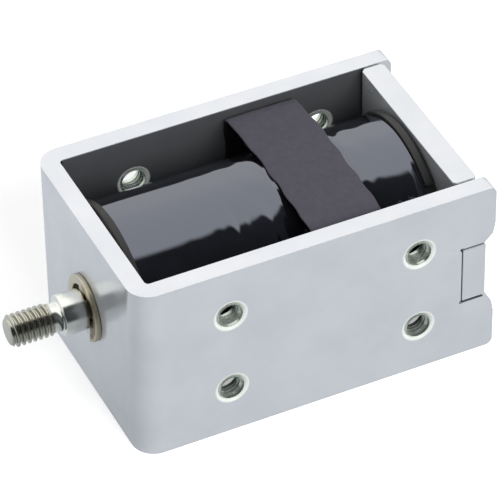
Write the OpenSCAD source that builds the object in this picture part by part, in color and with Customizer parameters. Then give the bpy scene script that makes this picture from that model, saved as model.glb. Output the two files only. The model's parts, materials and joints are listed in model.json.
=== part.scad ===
// Push pull solenoid: an open steel frame around a taped coil, with a plunger that
// slides and turns freely on its axis and pushes a threaded rod out of the front wall.
//
// X runs along the plunger axis, with the threaded stud towards -X. Y is across the frame
// and Z is up. The origin lies under the middle of the overall length, on the surface that
// the frame's lower edges stand on. The plunger is drawn at rest, with its clip on the wall.

/* [Frame] */
// Length of the frame, from the front wall's face to the ends of the side walls
frame_l = 45.5; // [40:0.5:60]
// Width over the side walls
frame_w = 29; // [27:0.5:36]
// Height of the frame
frame_h = 24; // [20:0.5:30]
// Thickness of the sheet
sheet_t = 2.3; // [1.6:0.1:2.6]
// Inside radius of the two bends
bend_in_r = 0.5; // [0.2:0.1:1.5]
// Rounding of the side walls' free corners
wall_corner_r = 0.9; // [0.3:0.1:2]

/* [Mounting holes] */
// Nominal diameter of the tapped holes
tap_d = 3; // [2.5:0.5:4]
// Depth of the chamfer at each hole's two mouths
tap_chamfer = 0.5; // [0.1:0.05:0.6]
// From the front wall's face to the front holes
tap_front = 11.6; // [8:0.1:16]
// From the walls' free ends to the rear holes
tap_rear = 9.9; // [8:0.1:14]
// Distance between holes across the frame's height
tap_pitch_z = 11; // [8:0.5:13]

/* [End plate] */
// Thickness of the plate that closes the frame
plate_t = 3; // [2:0.1:4]
// Length of wall left past the plate
plate_setback = 1.2; // [0.6:0.1:3]
// Height of the tabs that key the plate into the walls
tab_h = 8; // [5:0.5:11]
// Chamfer on the plate's corners
plate_chamfer = 0.4; // [0.1:0.1:0.8]
// How far the staked mouth of each notch spreads, on each side
stake_spread = 1.2; // [0.5:0.1:1.6]
// Height of the dent that staking leaves beside that mouth
stake_dent_h = 1.6; // [0.8:0.1:2]
// Depth of that dent in the wall's end
stake_dent = 0.3; // [0.1:0.05:0.5]
// Radius of the relief in the notch's two inner corners
notch_relief_r = 0.25; // [0.15:0.05:0.4]

/* [Coil] */
// Gap between the bobbin's flanges and the frame's nearest faces
flange_gap = 0.1; // [0.05:0.05:0.6]
// Thickness of each flange
flange_t = 1.3; // [0.8:0.1:2]
// Wall of the bobbin's tube
bobbin_wall = 0.9; // [0.6:0.1:1.2]
// Width of the two slots that let the wire ends through the rear flange
lead_slot_w = 1.8; // [1:0.1:2.5]
// Step from the flanges' rim down to the tape
tape_step = 0.3; // [0.1:0.05:0.8]
// Thickness of the tape wound over the copper
tape_t = 0.35; // [0.1:0.05:0.6]

/* [Cloth band] */
// Width of the band, along the coil
band_w = 9.2; // [7:0.1:14]
// From the band back to the end plate
band_back = 8.8; // [4:0.1:18]
// Thickness of the cloth
band_t = 0.2; // [0.1:0.05:0.3]
// How much higher the band is in the middle than at the walls
band_rise = 0.9; // [0.4:0.05:1.6]
// Outside diameter of the sleeves on the two soldered joints
sleeve_d = 2.2; // [1.4:0.1:2.6]
// Length of those sleeves
sleeve_l = 6.5; // [4:0.5:7]

/* [Magnetic circuit] */
// Diameter of the fixed pole inside the coil
pole_d = 10; // [8:0.5:12]
// Length of the fixed pole behind the front wall
pole_l = 15.7; // [12:0.1:18]
// Wall of the pole's spigot, between the bush and the front wall
spigot_wall = 0.8; // [0.5:0.1:1.2]
// Depth of the conical seat in the pole, and length of the plunger's nose
cone_l = 3; // [2:0.25:4.5]
// Width of the flat around the rod at the bottom of the seat
seat_flat = 0.7; // [0.5:0.1:1]
// Lip left around the seat's mouth
seat_lip = 0.3; // [0.2:0.05:0.6]
// Wall of the guide tube
guide_wall = 0.3; // [0.2:0.05:0.5]
// Height of the guide tube's rolled lip behind the end plate
guide_lip = 0.7; // [0.3:0.1:1]

/* [Plunger] */
// Travel of the plunger
stroke = 6; // [3:0.5:7]
// Length of plunger that stands behind the end plate at rest
tail_l = 2; // [1:0.25:4]
// Chamfer at the plunger's rear edge
tail_chamfer = 0.5; // [0.2:0.1:1]
// Diameter of the push rod
rod_d = 5; // [4:0.25:5.5]
// Length of rod in front of the wall, up to the stud's shoulder
rod_front = 3.6; // [2:0.1:8]
// Length of rod pressed into the plunger
rod_press = 8; // [5:0.5:12]
// Nominal diameter of the stud's thread
stud_d = 4; // [3:0.5:4]
// Pitch of the stud's thread
stud_pitch = 0.7; // [0.5:0.1:0.7]
// Length of the stud, with its neck
stud_l = 6.4; // [4:0.2:12]
// Length of the plain neck between thread and shoulder
neck_l = 1; // [0.5:0.1:1.5]
// Chamfer at the stud's tip
stud_chamfer = 0.35; // [0.1:0.05:0.6]
// Thickness of the non-magnetic washer that keeps plunger and pole apart
washer_t = 0.3; // [0.1:0.05:0.6]

/* [Bush and clip] */
// Wall of the bush that guides the rod
bush_wall = 0.65; // [0.4:0.05:0.8]
// Length of the bush
bush_l = 6; // [4:0.5:10]
// Distance of the bush from the pole's front face
bush_inset = 0.5; // [0.2:0.1:1]
// How far the retaining ring stands out from the rod
clip_reach = 1.65; // [1.2:0.05:2.5]
// Thickness of the ring
clip_t = 0.6; // [0.5:0.05:0.9]
// Depth of the groove that the ring sits in
groove_depth = 0.5; // [0.3:0.05:0.6]
// How far the ring's mouth is narrower than the groove, on each side
clip_bite = 0.15; // [0.05:0.05:0.3]
// Gap between the ring's bow and the rod
clip_relief = 0.5; // [0.2:0.1:0.8]
// Width of the lugs that grip the groove
clip_lug_w = 1.5; // [1:0.1:2]

/* [Fits] */
// Clearance, on each side, between pieces that are pressed or wound together
press_gap = 0.03; // [0.02:0.01:0.05]
// Radial clearance of the plunger in its guide tube
plunger_gap = 0.06; // [0.03:0.01:0.1]
// Radial clearance of the rod in its bush
rod_gap = 0.05; // [0.03:0.01:0.1]
// Clearance between pieces that rest face to face
face_gap = 0.05; // [0.03:0.01:0.1]
// Clearance on each side between the end plate and the walls
plate_gap = 0.25; // [0.1:0.05:0.4]
// Clearance around the end plate's tabs
tab_gap = 0.12; // [0.03:0.01:0.15]

/* [Hidden] */
$fn = 96;
// What a cut runs past the faces it goes through
over = 1;

// Distances along the axis, counted from the front wall's outer face
stud_tip = -rod_front - stud_l;
plate_back = frame_l - plate_setback;
plate_front = plate_back - plate_t;
pole_end = sheet_t + pole_l;
seat_floor = pole_end - cone_l;
nose = seat_floor + face_gap + washer_t + face_gap + stroke;
tail = plate_back + tail_l;
coil_front = sheet_t + face_gap + flange_t;
coil_back = plate_front - face_gap - flange_t;
band_start = plate_front - band_back - band_w;

// Where that face lies, and how high the axis is
front_x = -(stud_tip + tail) / 2;
axis_z = frame_h / 2;

// Radii and widths
inner_w = frame_w - 2 * sheet_t;
bend_out_r = bend_in_r + sheet_t;
pole_r = pole_d / 2;
guide_in_r = pole_r + press_gap;
guide_out_r = guide_in_r + guide_wall;
armature_r = guide_in_r - plunger_gap;
bobbin_in_r = guide_out_r + press_gap;
bobbin_out_r = bobbin_in_r + bobbin_wall;
flange_r = min(inner_w, frame_h) / 2 - flange_gap;
tape_r = flange_r - tape_step;
winding_r = tape_r - tape_t - press_gap;
rod_r = rod_d / 2;
bush_in_r = rod_r + rod_gap;
bush_out_r = bush_in_r + bush_wall;
groove_r = rod_r - groove_depth;
stud_r = stud_d / 2;
thread_pitch_r = stud_r - 0.325 * stud_pitch;
seat_r = rod_r + seat_flat;
spigot_r = bush_out_r + spigot_wall;
mouth_r = pole_r - seat_lip;
nose_r = seat_r - plunger_gap;
shoulder_r = mouth_r - plunger_gap;

// A body of revolution about the plunger axis. The outline's points are [radius, distance
// from the front wall's outer face].
module turned(outline) {
    translate([front_x, 0, axis_z])
        rotate([0, 90, 0])
            rotate_extrude()
                polygon(outline);
}

// The outline of a plain sleeve between two radii and two distances
function sleeve(in_r, out_r, start, end) =
    [[in_r, start], [out_r, start], [out_r, end], [in_r, end]];

// Moves a shape drawn in the side view, as [distance from the front face, height above the
// axis], through the whole width
module side_cut() {
    translate([front_x, frame_w / 2 + over, axis_z])
        rotate([90, 0, 0])
            linear_extrude(frame_w + 2 * over)
                children();
}

// A U of sheet in plan: square at the rear, with its two front corners rounded
module channel_plan(width, corner_r) {
    translate([corner_r, -width / 2])
        square([frame_l + over - corner_r, width]);
    translate([0, corner_r - width / 2])
        square([frame_l, width - 2 * corner_r]);
    for (side = [-1, 1])
        translate([corner_r, side * (width / 2 - corner_r)])
            circle(corner_r);
}

module sheet_channel() {
    translate([front_x, 0, 0])
        linear_extrude(frame_h)
            intersection() {
                difference() {
                    channel_plan(frame_w, bend_out_r);
                    translate([sheet_t, 0])
                        channel_plan(inner_w, bend_in_r);
                }
                translate([0, -frame_w / 2])
                    square([frame_l, frame_w]);
            }
}

// The side walls' free corners, as what is cut away from them
module free_corners() {
    for (end = [-1, 1])
        side_cut()
            translate([frame_l - wall_corner_r, end * (axis_z - wall_corner_r)])
                scale([1, end])
                    difference() {
                        square(wall_corner_r + over);
                        circle(wall_corner_r);
                    }
}

// One long edge of the notch for the plate's tabs, as points on the side way: straight beside
// the tab, spread where the wall is staked over it, and dented beside that
function notch_edge(way) = [
    [plate_front - tab_gap, way * tab_h / 2],
    [plate_back - stake_dent, way * tab_h / 2],
    [frame_l - stake_dent, way * (tab_h / 2 + stake_spread)],
    [frame_l, way * (tab_h / 2 + stake_spread + stake_dent_h)],
    [frame_l + over, way * (tab_h / 2 + stake_spread + stake_dent_h)]
];

function reversed(points) = [for (i = [len(points) - 1 : -1 : 0]) points[i]];

module tab_notch() {
    side_cut() {
        polygon(concat(notch_edge(1), reversed(notch_edge(-1))));
        for (way = [-1, 1])
            translate([plate_front - tab_gap, way * tab_h / 2])
                circle(notch_relief_r);
    }
}

// A tapped hole at its nominal diameter through both side walls, chamfered at its mouths
module tapped_hole(x, z) {
    translate([front_x + x, 0, z])
        rotate([90, 0, 0]) {
            cylinder(h = frame_w + 2 * over, d = tap_d, center = true);
            for (face = [-1, 1]) {
                translate([0, 0, face * frame_w / 2])
                    chamfer_cone();
                translate([0, 0, face * inner_w / 2])
                    chamfer_cone();
            }
        }
}

// Two cones base to base, whose widest circle lies in a wall's face
module chamfer_cone() {
    wide_r = tap_d / 2 + tap_chamfer;
    for (way = [0, 1])
        mirror([0, 0, way])
            cylinder(h = wide_r, r1 = wide_r, r2 = 0);
}

module frame() {
    color([0.78, 0.81, 0.84])
        difference() {
            sheet_channel();
            free_corners();
            tab_notch();
            turned(sleeve(0, spigot_r + press_gap, -over, sheet_t + over));
            for (x = [tap_front, frame_l - tap_rear])
                for (z = [axis_z - tap_pitch_z / 2, axis_z + tap_pitch_z / 2])
                    tapped_hole(x, z);
        }
}

// The plate in plan, with chamfered corners
module plate_plan() {
    half = inner_w / 2 - plate_gap;
    polygon([
        [0, -half + plate_chamfer], [plate_chamfer, -half],
        [plate_t - plate_chamfer, -half], [plate_t, -half + plate_chamfer],
        [plate_t, half - plate_chamfer], [plate_t - plate_chamfer, half],
        [plate_chamfer, half], [0, half - plate_chamfer]
    ]);
}

module end_plate() {
    tab_z = tab_h - 2 * tab_gap;
    color([0.76, 0.78, 0.8])
        difference() {
            union() {
                translate([front_x + plate_front, 0, 0])
                    linear_extrude(frame_h)
                        plate_plan();
                translate([front_x + plate_front, -frame_w / 2, axis_z - tab_z / 2])
                    cube([plate_t, frame_w, tab_z]);
            }
            turned(sleeve(0, guide_out_r + press_gap, plate_front - over, plate_back + over));
        }
}

// One of the two slots that the wire ends leave the rear flange by
module lead_slot(angle) {
    translate([front_x + coil_back - over, 0, axis_z])
        rotate([angle, 0, 0])
            translate([0, -lead_slot_w / 2, tape_r - tape_t])
                cube([flange_t + 2 * over, lead_slot_w, flange_r]);
}

// The coil's former. Its flanges' rims are chamfered to clear the frame's inside bends.
module bobbin() {
    start = sheet_t + face_gap;
    end = plate_front - face_gap;
    rim_chamfer = min(bend_in_r, flange_t - tape_step);
    color([0.2, 0.2, 0.21])
        difference() {
            turned([[bobbin_in_r, start], [flange_r - rim_chamfer, start],
                    [flange_r, start + rim_chamfer], [flange_r, coil_front],
                    [bobbin_out_r, coil_front], [bobbin_out_r, coil_back],
                    [flange_r, coil_back], [flange_r, end - rim_chamfer],
                    [flange_r - rim_chamfer, end], [bobbin_in_r, end]]);
            for (angle = [-45, 45])
                lead_slot(angle);
        }
}

module winding() {
    color([0.72, 0.4, 0.2])
        turned(sleeve(bobbin_out_r + press_gap, winding_r,
                      coil_front + press_gap, coil_back - press_gap));
}

module coil_tape() {
    color([0.05, 0.05, 0.06])
        turned(sleeve(tape_r - tape_t, tape_r, coil_front + press_gap, coil_back - press_gap));
}

// The band's outline, drawn across the frame: flat along the walls, and crowned above and
// below. It is smaller by inset on every side.
module band_outline(inset) {
    half = inner_w / 2 - face_gap - 0.05;
    top = tape_r + face_gap + band_t;
    crown_r = (half * half + band_rise * band_rise) / (2 * band_rise);
    intersection() {
        translate([inset - half, -top])
            square([2 * (half - inset), 2 * top]);
        intersection_for (way = [-1, 1])
            translate([0, way * (top - crown_r)])
                circle(crown_r - inset, $fn = 360);
    }
}

module cloth_band() {
    color([0.3, 0.3, 0.33])
        translate([front_x + band_start, 0, axis_z])
            rotate([90, 0, 90])
                linear_extrude(band_w)
                    difference() {
                        band_outline(0);
                        band_outline(band_t);
                    }
}

// Two sleeved joints between the coil's wire ends and its leads, on the tape under the band
module lead_splices() {
    reach = tape_r + 4 * face_gap + sleeve_d / 2;
    color([0.1, 0.1, 0.1])
        for (angle = [-45, 45])
            translate([front_x + band_start + (band_w - sleeve_l) / 2, 0, axis_z])
                rotate([angle, 0, 0])
                    translate([0, 0, reach])
                        rotate([0, 90, 0])
                            cylinder(h = sleeve_l, d = sleeve_d);
}

// The iron core riveted into the front wall, bored for the rod and its bush
module fixed_pole() {
    bush_seat_r = bush_out_r + press_gap;
    bush_end = bush_inset + bush_l + face_gap;
    through_r = bush_in_r + rod_gap;
    color([0.62, 0.63, 0.65])
        turned([[bush_seat_r, 0], [spigot_r, 0], [spigot_r, sheet_t + face_gap],
                [pole_r, sheet_t + face_gap], [pole_r, pole_end], [mouth_r, pole_end],
                [seat_r, seat_floor], [through_r, seat_floor], [through_r, bush_end],
                [bush_seat_r, bush_end]]);
}

module rod_bush() {
    color([0.7, 0.52, 0.28])
        turned(sleeve(bush_in_r, bush_out_r, bush_inset, bush_inset + bush_l));
}

// The brass tube that the plunger slides in, with its rear end rolled over the plate
module guide_tube() {
    lip_start = plate_back + face_gap;
    lip_end = lip_start + guide_wall;
    color([0.75, 0.62, 0.3])
        turned([[guide_in_r, sheet_t + 2 * face_gap], [guide_out_r, sheet_t + 2 * face_gap],
                [guide_out_r, lip_start], [guide_out_r + guide_lip, lip_start],
                [guide_out_r + guide_lip, lip_end], [guide_in_r, lip_end]]);
}

module stop_washer() {
    color([0.8, 0.66, 0.35])
        turned(sleeve(bush_in_r, nose_r, nose - face_gap - washer_t, nose - face_gap));
}

// The sliding iron plunger, with a cone that fits the pole's seat
module armature() {
    hole_r = rod_r + press_gap;
    hole_end = nose + rod_press + face_gap;
    color([0.7, 0.71, 0.72])
        turned([[hole_r, nose], [nose_r, nose], [shoulder_r, nose + cone_l],
                [armature_r, nose + cone_l], [armature_r, tail - tail_chamfer],
                [armature_r - tail_chamfer, tail], [0, tail], [0, hole_end],
                [hole_r, hole_end]]);
}

module push_rod() {
    shoulder = -rod_front;
    thread_end = shoulder - neck_l;
    groove_back = -face_gap / 2;
    groove_front = groove_back - clip_t - face_gap;
    rod_end = nose + rod_press;
    color([0.72, 0.72, 0.7])
        turned([[0, stud_tip], [stud_r - stud_chamfer, stud_tip],
                [stud_r, stud_tip + stud_chamfer], [stud_r, thread_end],
                [thread_pitch_r, thread_end], [thread_pitch_r, shoulder],
                [rod_r - tail_chamfer / 2, shoulder], [rod_r, shoulder + tail_chamfer / 2],
                [rod_r, groove_front], [groove_r, groove_front], [groove_r, groove_back],
                [rod_r, groove_back], [rod_r, rod_end], [0, rod_end]]);
}

// The ring seen along the axis: an open circle with three lugs that reach into the groove
module clip_outline() {
    clip_r = rod_r + clip_reach;
    relief_r = rod_r + clip_relief;
    grip_r = groove_r + press_gap;
    mouth = groove_r - clip_bite;
    difference() {
        union() {
            difference() {
                circle(clip_r);
                circle(relief_r);
            }
            intersection() {
                circle(clip_r);
                for (angle = [90, 210, 330])
                    rotate(angle)
                        translate([0, -clip_lug_w / 2])
                            square([clip_r, clip_lug_w]);
            }
        }
        circle(grip_r);
        translate([-mouth, -clip_r - over])
            square([2 * mouth, clip_r + over]);
    }
}

module retaining_ring() {
    color([0.7, 0.66, 0.5])
        translate([front_x - face_gap - clip_t, 0, axis_z])
            rotate([90, 0, 90])
                linear_extrude(clip_t)
                    clip_outline();
}

frame();
end_plate();
bobbin();
winding();
coil_tape();
cloth_band();
lead_splices();
fixed_pole();
rod_bush();
guide_tube();
stop_washer();
armature();
push_rod();
retaining_ring();
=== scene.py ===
# Looks of an open frame push pull solenoid: zinc plated sheet, a taped coil, a cloth band, a
# turned rod with a cut thread and a passivated retaining ring. Every place and size comes
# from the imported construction; lengths are in metres.
import json
import math

import bmesh
import bpy
import numpy as np
from mathutils import Matrix, Vector


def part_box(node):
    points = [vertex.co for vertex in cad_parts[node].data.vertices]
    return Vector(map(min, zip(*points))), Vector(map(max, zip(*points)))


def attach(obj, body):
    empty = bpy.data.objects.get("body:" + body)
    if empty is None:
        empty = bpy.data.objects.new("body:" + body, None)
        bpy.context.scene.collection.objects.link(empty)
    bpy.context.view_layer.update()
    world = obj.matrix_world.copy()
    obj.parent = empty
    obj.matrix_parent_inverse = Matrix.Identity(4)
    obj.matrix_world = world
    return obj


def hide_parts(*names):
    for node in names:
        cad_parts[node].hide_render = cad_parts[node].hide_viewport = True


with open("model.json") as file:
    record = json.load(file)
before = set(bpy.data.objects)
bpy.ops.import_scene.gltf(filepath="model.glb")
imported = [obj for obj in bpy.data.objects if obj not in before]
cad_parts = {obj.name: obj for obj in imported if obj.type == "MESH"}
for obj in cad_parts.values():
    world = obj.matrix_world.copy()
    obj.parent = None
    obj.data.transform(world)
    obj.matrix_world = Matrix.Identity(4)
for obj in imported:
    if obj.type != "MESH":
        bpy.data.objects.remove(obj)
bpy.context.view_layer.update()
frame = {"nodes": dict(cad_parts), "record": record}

MM = 0.001

frame_low, frame_high = (np.array(corner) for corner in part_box("frame"))
rod_low, rod_high = (np.array(corner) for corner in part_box("push_rod"))
tape_low, tape_high = (np.array(corner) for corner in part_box("coil_tape"))
band_low, band_high = (np.array(corner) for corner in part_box("cloth_band"))
plate_low = np.array(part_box("end_plate")[0])
ring_low, ring_high = (np.array(corner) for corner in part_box("retaining_ring"))
AXIS_Z = float(rod_low[2] + rod_high[2]) / 2
STATOR = "stator"
PLUNGER = "plunger"


# ---------------------------------------------------------------- camera

def add_camera():
    """A long lens that looks down along a fixed direction at a point near the frame's middle."""
    azimuth = math.radians(24.87)
    elevation = math.radians(40.58)
    roll = math.radians(-1.01)
    distance = 0.4763
    off_centre = np.array([-1.56, 0.73, 0.0]) * MM
    aim = (frame_low + frame_high) / 2 + off_centre
    forward = np.array([
        math.cos(elevation) * math.sin(azimuth),
        math.cos(elevation) * math.cos(azimuth),
        -math.sin(elevation),
    ])
    level = np.array([math.cos(azimuth), -math.sin(azimuth), 0.0])
    above = np.cross(level, forward)
    right = math.cos(roll) * level + math.sin(roll) * above
    up = np.cross(right, forward)
    place = Matrix.Identity(4)
    for column, direction in enumerate((right, up, -forward, aim - distance * forward)):
        for row in range(3):
            place[row][column if column < 3 else 3] = float(direction[row])
    data = bpy.data.cameras.new("camera")
    data.sensor_width = 36.0
    data.lens = 292.3
    data.clip_start = 0.01
    data.clip_end = 20.0
    camera = bpy.data.objects.new("camera", data)
    camera.matrix_world = place
    bpy.context.scene.collection.objects.link(camera)
    bpy.context.scene.camera = camera


add_camera()


# ---------------------------------------------------------------- meshes

def show(mesh, name, material):
    """Puts a mesh into the scene as a smooth piece at the origin, with its material."""
    mesh.name = name
    mesh.materials.clear()
    mesh.materials.append(material)
    mesh.polygons.foreach_set("use_smooth", np.ones(len(mesh.polygons), dtype=bool))
    piece = bpy.data.objects.new(name, mesh)
    bpy.context.scene.collection.objects.link(piece)
    return piece


def second_finish(mesh, material, chosen):
    """Gives the faces whose middles are chosen a second material. The choice is a function
    from the middles, as an array of points, to an array of true or false."""
    mesh.materials.append(material)
    middles = np.empty(len(mesh.polygons) * 3)
    mesh.polygons.foreach_get("center", middles)
    picked = chosen(middles.reshape(-1, 3)).astype(np.int32)
    mesh.polygons.foreach_set("material_index", picked)


def grid_mesh(points, ring=True, loop=False):
    """A surface through a grid of points, one quad between each four neighbours.

    A ring joins each row's last point to its first, and a loop joins the last row to the
    first. A ring that is no loop gets one more point at the middle of each end row, so that
    it closes. The faces are turned outwards by the sign of the volume that they enclose.
    """
    rows, columns = points.shape[:2]
    index = np.arange(rows * columns).reshape(rows, columns)
    ahead = np.roll(index, -1, axis=0) if loop else index[1:]
    here = index if loop else index[:-1]
    corners = [here, np.roll(here, -1, axis=1), np.roll(ahead, -1, axis=1), ahead]
    if not ring:
        corners = [corner[:, :-1] for corner in corners]
    quads = np.stack([corner.ravel() for corner in corners], axis=1)
    vertices = points.reshape(-1, 3)
    fans = np.zeros((0, 3), dtype=int)
    if ring and not loop:
        middle = np.stack([points[0].mean(axis=0), points[-1].mean(axis=0)])
        vertices = np.vstack([vertices, middle])
        first, last = rows * columns, rows * columns + 1
        start, end = index[0], index[-1]
        fans = np.vstack([
            np.stack([np.roll(start, -1), start, np.full(columns, first)], axis=1),
            np.stack([end, np.roll(end, -1), np.full(columns, last)], axis=1),
        ])
    a, b, c = (vertices[quads[:, k]] for k in range(3))
    d = vertices[quads[:, 3]]
    volume = (np.cross(a, b) * c).sum() + (np.cross(a, c) * d).sum()
    if volume < 0:
        quads, fans = quads[:, ::-1], fans[:, ::-1]
    mesh = bpy.data.meshes.new("grid")
    mesh.from_pydata(vertices.tolist(), [], quads.tolist() + fans.tolist())
    mesh.update()
    return mesh


def around_axis(x, radius, angle):
    """Points at a distance x along the plunger axis, a radius from it and an angle about it,
    where angle 0 points along +Y and a quarter turn points up."""
    x, radius, angle = np.broadcast_arrays(x, radius, angle)
    return np.stack([x, radius * np.cos(angle), AXIS_Z + radius * np.sin(angle)], axis=-1)


def turn(count):
    """Angles of one full turn in equal steps, as one row."""
    return np.linspace(0.0, 2 * math.pi, count, endpoint=False)[None, :]


def bevelled_copy(node, name, material, width, segments=3, sharper_than=28.0):
    """A merged copy of a construction node, with its sharp edges rounded by a bevel."""
    source = frame["nodes"][node].data
    work = bmesh.new()
    work.from_mesh(source)
    bmesh.ops.remove_doubles(work, verts=work.verts, dist=1e-7)
    bmesh.ops.dissolve_limit(
        work, angle_limit=math.radians(0.5), verts=work.verts, edges=work.edges,
    )
    bmesh.ops.triangulate(work, faces=[f for f in work.faces if len(f.verts) > 60])
    work.verts.index_update()
    vertices = [tuple(v.co) for v in work.verts]
    faces = [[v.index for v in f.verts] for f in work.faces]
    work.free()
    mesh = bpy.data.meshes.new(name)
    mesh.from_pydata(vertices, [], faces)
    mesh.update()
    piece = show(mesh, name, material)
    bevel = piece.modifiers.new("rounded edges", "BEVEL")
    bevel.width = width
    bevel.segments = segments
    bevel.limit_method = "ANGLE"
    bevel.angle_limit = math.radians(sharper_than)
    bevel.harden_normals = False
    weighted = piece.modifiers.new("flat faces stay flat", "WEIGHTED_NORMAL")
    weighted.keep_sharp = True
    weighted.weight = 100
    return piece


# ---------------------------------------------------------------- node groups

def add_node(tree, kind, settings=None, **inputs):
    """Adds a shader node. Inputs are given by socket name, with _ for a space, or as n and
    the socket's number, and are either values or the sockets that they are linked to."""
    made = tree.nodes.new(kind)
    for key, value in (settings or {}).items():
        setattr(made, key, value)
    for key, value in inputs.items():
        numbered = key[0] == "n" and key[1:].isdigit()
        socket = made.inputs[int(key[1:]) if numbered else key.replace("_", " ")]
        if isinstance(value, bpy.types.NodeSocket):
            tree.links.new(value, socket)
        else:
            socket.default_value = value
    return made


def new_group(name, inputs, outputs):
    """An empty shader node group with named inputs and outputs, and its two end nodes."""
    tree = bpy.data.node_groups.new(name, "ShaderNodeTree")
    for label, kind, value in inputs:
        socket = tree.interface.new_socket(label, in_out="INPUT", socket_type=kind)
        if value is not None:
            socket.default_value = value
    for label, kind in outputs:
        tree.interface.new_socket(label, in_out="OUTPUT", socket_type=kind)
    return tree, tree.nodes.new("NodeGroupInput"), tree.nodes.new("NodeGroupOutput")


VECTOR, NUMBER, COLOUR = "NodeSocketVector", "NodeSocketFloat", "NodeSocketColor"


def cloudy_tone_group():
    """Two tones that drift into each other in soft clouds, with the clouds as a mask."""
    tree, given, result = new_group(
        "cloudy tone",
        [("Vector", VECTOR, None), ("Scale", NUMBER, 100.0), ("Tone A", COLOUR, None),
         ("Tone B", COLOUR, None), ("Contrast", NUMBER, 1.0)],
        [("Color", COLOUR), ("Mask", NUMBER)],
    )
    clouds = add_node(tree, "ShaderNodeTexNoise", Vector=given.outputs["Vector"],
                      Scale=given.outputs["Scale"], Detail=4.0, Roughness=0.55)
    centred = add_node(tree, "ShaderNodeMath", {"operation": "SUBTRACT"},
                       n0=clouds.outputs["Fac"], n1=0.5)
    stretched = add_node(tree, "ShaderNodeMath", {"operation": "MULTIPLY_ADD", "use_clamp": True},
                         n0=centred.outputs[0], n1=given.outputs["Contrast"], n2=0.5)
    mixed = add_node(tree, "ShaderNodeMix", {"data_type": "RGBA"}, Factor=stretched.outputs[0],
                     n6=given.outputs["Tone A"], n7=given.outputs["Tone B"])
    tree.links.new(mixed.outputs[2], result.inputs["Color"])
    tree.links.new(stretched.outputs[0], result.inputs["Mask"])
    return tree


def grain_group():
    """Fine grain, stretched along one axis by the vector's own scaling, as a height."""
    tree, given, result = new_group(
        "fine grain",
        [("Vector", VECTOR, None), ("Scale", NUMBER, 3000.0),
         ("Stretch", VECTOR, (1.0, 1.0, 1.0))],
        [("Height", NUMBER)],
    )
    scaled = add_node(tree, "ShaderNodeVectorMath", {"operation": "MULTIPLY"},
                      n0=given.outputs["Vector"], n1=given.outputs["Stretch"])
    grain = add_node(tree, "ShaderNodeTexNoise", Vector=scaled.outputs[0],
                     Scale=given.outputs["Scale"], Detail=3.0, Roughness=0.6)
    tree.links.new(grain.outputs["Fac"], result.inputs["Height"])
    return tree


def turned_marks_group():
    """The tool's rings on a turned piece: noise that depends on the distance along the axis
    and the distance from it, and not on the angle."""
    tree, given, result = new_group(
        "turned marks",
        [("Vector", VECTOR, None), ("Scale", NUMBER, 4000.0)],
        [("Height", NUMBER)],
    )
    parts = add_node(tree, "ShaderNodeSeparateXYZ", Vector=given.outputs["Vector"])
    lowered = add_node(tree, "ShaderNodeMath", {"operation": "SUBTRACT"},
                       n0=parts.outputs["Z"], n1=AXIS_Z)
    across = add_node(tree, "ShaderNodeMath", {"operation": "MULTIPLY"},
                      n0=parts.outputs["Y"], n1=parts.outputs["Y"])
    squares = add_node(tree, "ShaderNodeMath", {"operation": "MULTIPLY_ADD"},
                       n0=lowered.outputs[0], n1=lowered.outputs[0], n2=across.outputs[0])
    radius = add_node(tree, "ShaderNodeMath", {"operation": "SQRT"}, n0=squares.outputs[0])
    place = add_node(tree, "ShaderNodeCombineXYZ", X=parts.outputs["X"], Y=radius.outputs[0])
    marks = add_node(tree, "ShaderNodeTexNoise", Vector=place.outputs[0],
                     Scale=given.outputs["Scale"], Detail=2.0, Roughness=0.5)
    tree.links.new(marks.outputs["Fac"], result.inputs["Height"])
    return tree


# The box mask that lays painted shade inside the frame.
def inside_shade_box_group():
    """A mask that is 1 inside a box and 0 outside it, with a soft edge a tenth of a
    millimetre wide. Middle and Half give the box's centre and half sizes."""
    tree, given, result = new_group(
        "inside shade box",
        [("Vector", VECTOR, None), ("Middle", VECTOR, None), ("Half", VECTOR, None)],
        [("Mask", NUMBER)],
    )
    centred = add_node(tree, "ShaderNodeVectorMath", {"operation": "SUBTRACT"},
                       n0=given.outputs["Vector"], n1=given.outputs["Middle"])
    distance = add_node(tree, "ShaderNodeVectorMath", {"operation": "ABSOLUTE"},
                        n0=centred.outputs[0])
    depth = add_node(tree, "ShaderNodeVectorMath", {"operation": "SUBTRACT"},
                     n0=given.outputs["Half"], n1=distance.outputs[0])
    parts = add_node(tree, "ShaderNodeSeparateXYZ", Vector=depth.outputs[0])
    nearest = add_node(tree, "ShaderNodeMath", {"operation": "MINIMUM"},
                       n0=parts.outputs["X"], n1=parts.outputs["Y"])
    nearest = add_node(tree, "ShaderNodeMath", {"operation": "MINIMUM"},
                       n0=nearest.outputs[0], n1=parts.outputs["Z"])
    soft = add_node(tree, "ShaderNodeMapRange", Value=nearest.outputs[0], From_Min=-0.05e-3,
                    From_Max=0.05e-3)
    tree.links.new(soft.outputs[0], result.inputs["Mask"])
    return tree


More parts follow.
